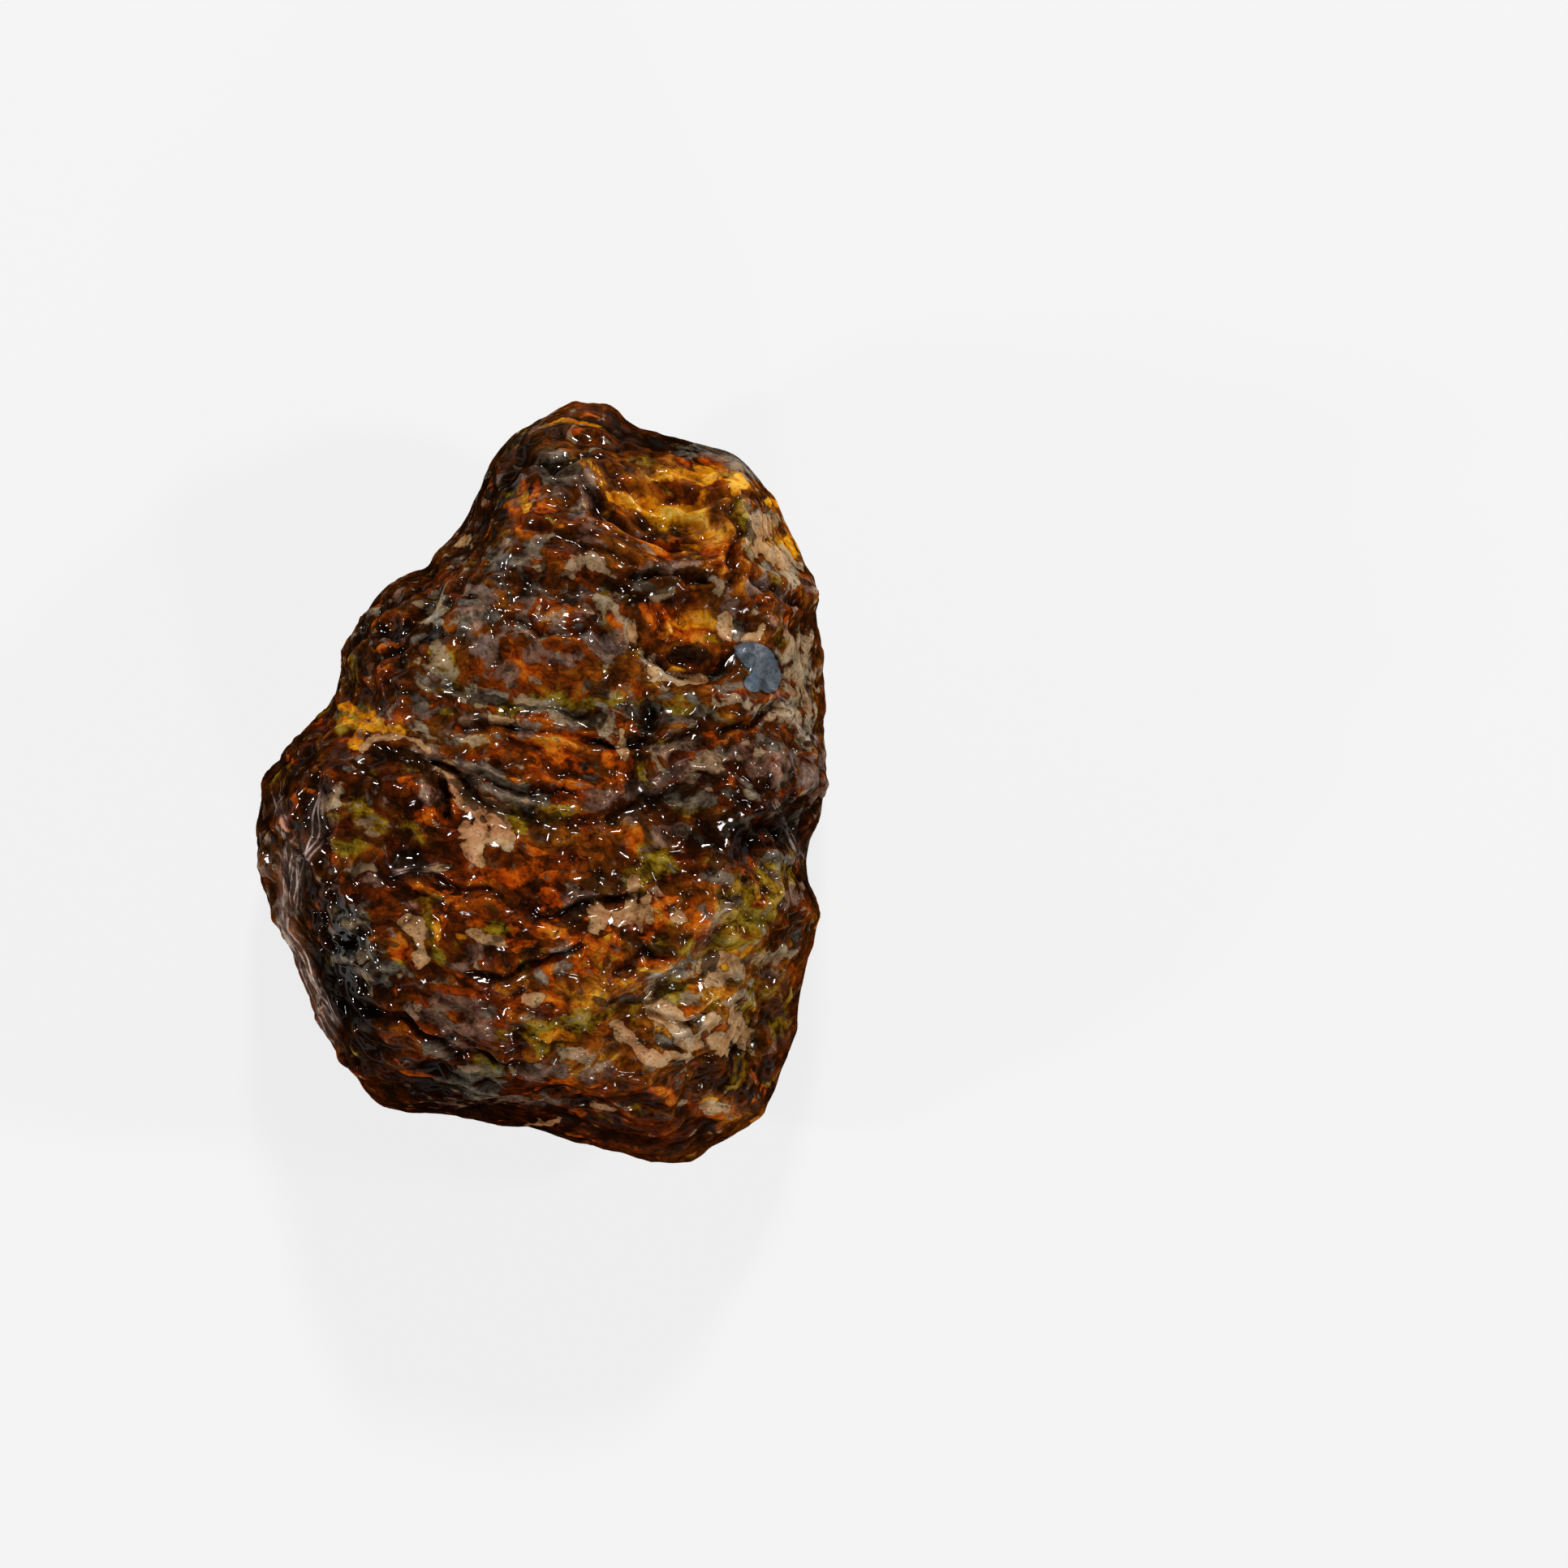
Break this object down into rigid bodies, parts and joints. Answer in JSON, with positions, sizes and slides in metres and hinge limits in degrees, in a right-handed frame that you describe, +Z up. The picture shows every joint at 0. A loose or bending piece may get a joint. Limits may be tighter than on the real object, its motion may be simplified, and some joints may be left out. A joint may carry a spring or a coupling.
{
  "type": "raw amber piece",
  "caption": "Rough lump of raw amber in its dark, wet-looking crust, with honey, orange and olive windows; rests on a worn flat on its back.",
  "frame": {"origin": "on the worn flat underside, below the middle of the outline", "axes": "+Z up out of the patterned face, +Y along the lump towards its narrow knob, +X towards its steep right-hand side"},
  "size_m": [0.0228, 0.0303, 0.0135],
  "materials": {
    "raw_amber": "wet, glossy dark brown crust over orange and honey amber"
  },
  "bodies": {
    "root": {"amber_piece": "raw_amber"}
  },
  "joints": []
}
